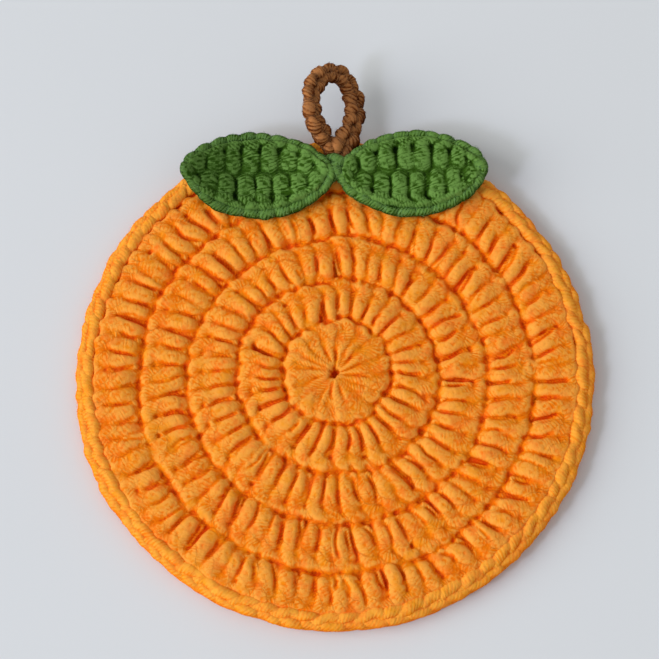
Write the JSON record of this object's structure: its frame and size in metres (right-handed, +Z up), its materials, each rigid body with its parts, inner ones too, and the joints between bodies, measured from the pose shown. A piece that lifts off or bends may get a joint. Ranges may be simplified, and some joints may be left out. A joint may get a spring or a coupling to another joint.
{
  "type": "crochet coaster",
  "caption": "Round crocheted yarn coaster made like a citrus fruit, with a pair of sewn-on leaves and a chain stem loop to hang it by.",
  "frame": {"origin": "centre of the round mat on the plane it rests on", "axes": "+Z up out of the face the cup stands on, +Y from the mat's centre to the hanging loop, +X to the right of the loop seen from above"},
  "size_m": [0.1152, 0.1298, 0.016],
  "materials": {
    "mat_yarn": "soft matt plied cotton yarn, warm orange",
    "leaf_yarn": "soft matt plied cotton yarn, leaf green",
    "stem_yarn": "soft matt plied cotton yarn, brown"
  },
  "bodies": {
    "root": {"round_mat": "mat_yarn", "leaf_left": "leaf_yarn", "leaf_right": "leaf_yarn", "hanging_loop": "stem_yarn"}
  },
  "joints": []
}
